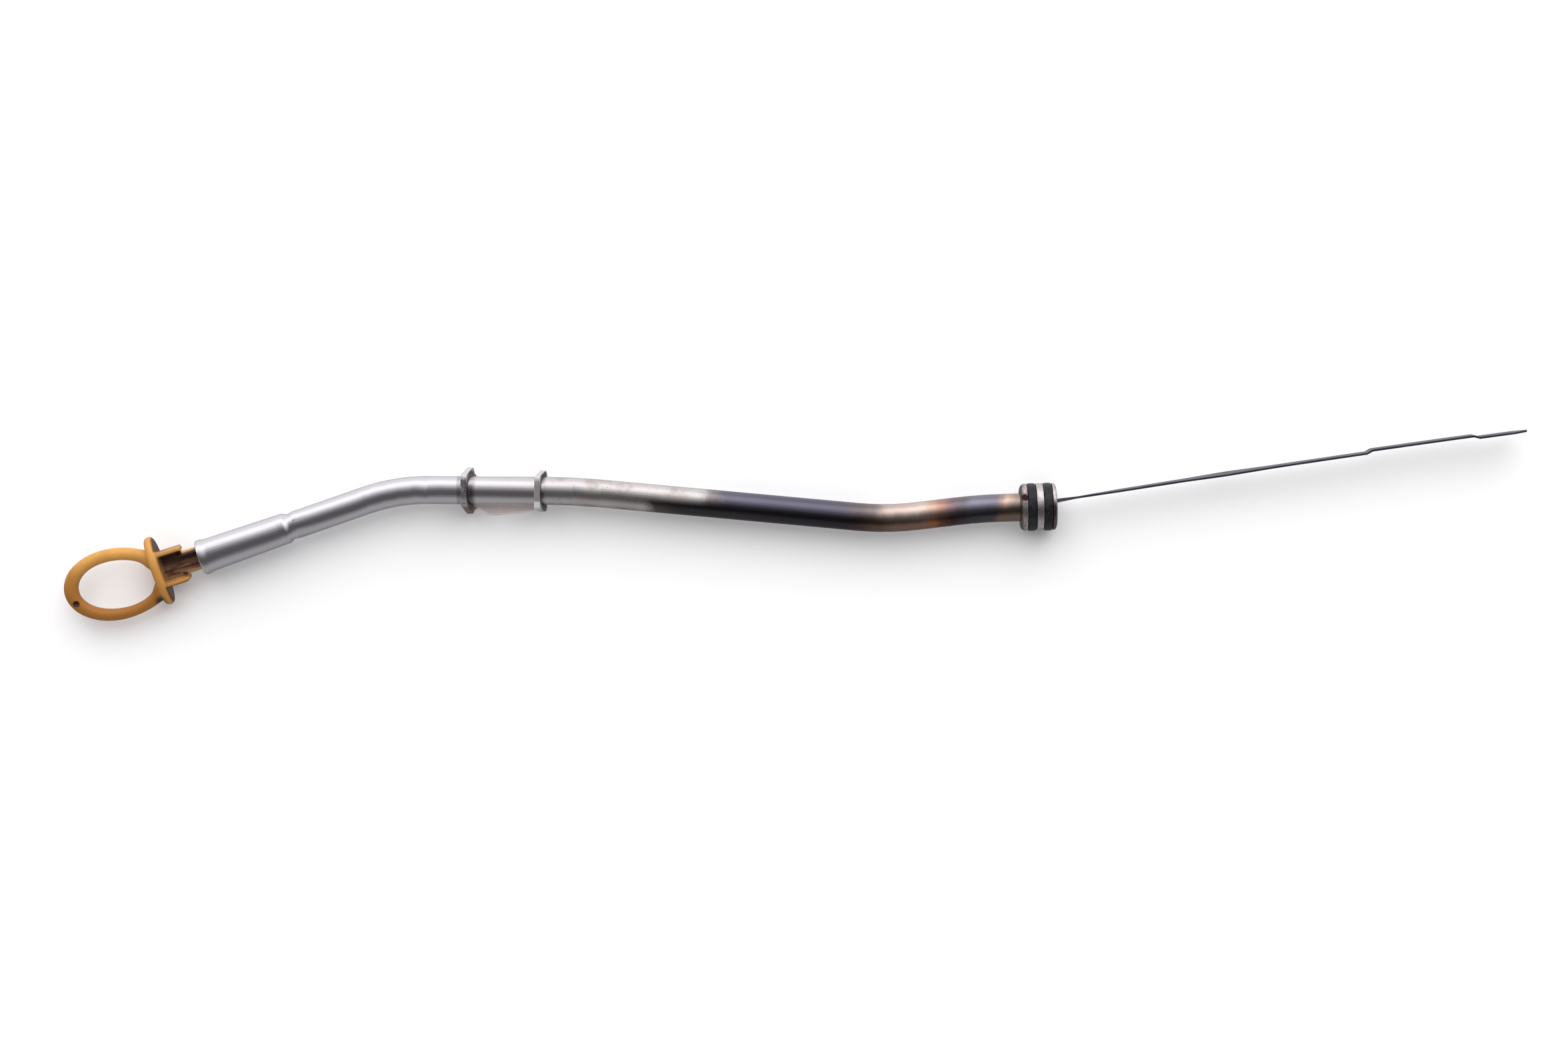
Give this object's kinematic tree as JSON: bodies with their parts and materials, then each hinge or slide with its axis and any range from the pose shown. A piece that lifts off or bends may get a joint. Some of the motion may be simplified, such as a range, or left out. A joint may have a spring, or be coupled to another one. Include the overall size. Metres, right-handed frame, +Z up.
{
  "type": "engine oil dipstick",
  "caption": "Engine oil dipstick with a moulded ring handle, seated in its bent steel guide tube with a folded bracket and a collar with sealing rings.",
  "frame": {"origin": "centre of the bracket's hole, on the seating face under the web", "axes": "+X along the tube at the bracket, towards the engine end and the strip's tip; +Z up from the seating face; the tube's bends and the strip lie in the level plane 8.2 mm above it"},
  "size_m": [0.5017, 0.0692, 0.0164],
  "materials": {
    "handle_plastic": "ochre moulded plastic, satin, browner underneath, with a scuffed pit",
    "strip_steel": "dark oil-stained spring steel, satin",
    "seal_rubber": "black rubber, oil-damp sheen",
    "tube_steel": "satin plated steel, stained, with soot and heat tints from straw to copper and blue-black towards the engine end",
    "bracket_steel": "plated sheet steel, nicked bright at its edges, rust-brown at the joint",
    "collar_steel": "turned steel, stained and spotted with rust",
    "ring_rubber": "black rubber, slightly shiny"
  },
  "bodies": {
    "root": {"handle": "handle_plastic", "gauge_blade": "strip_steel", "stem_seal": "seal_rubber", "guide_tube": "tube_steel", "mounting_bracket": "bracket_steel", "end_collar": "collar_steel", "o_ring_upper": "ring_rubber", "o_ring_lower": "ring_rubber"}
  },
  "joints": []
}
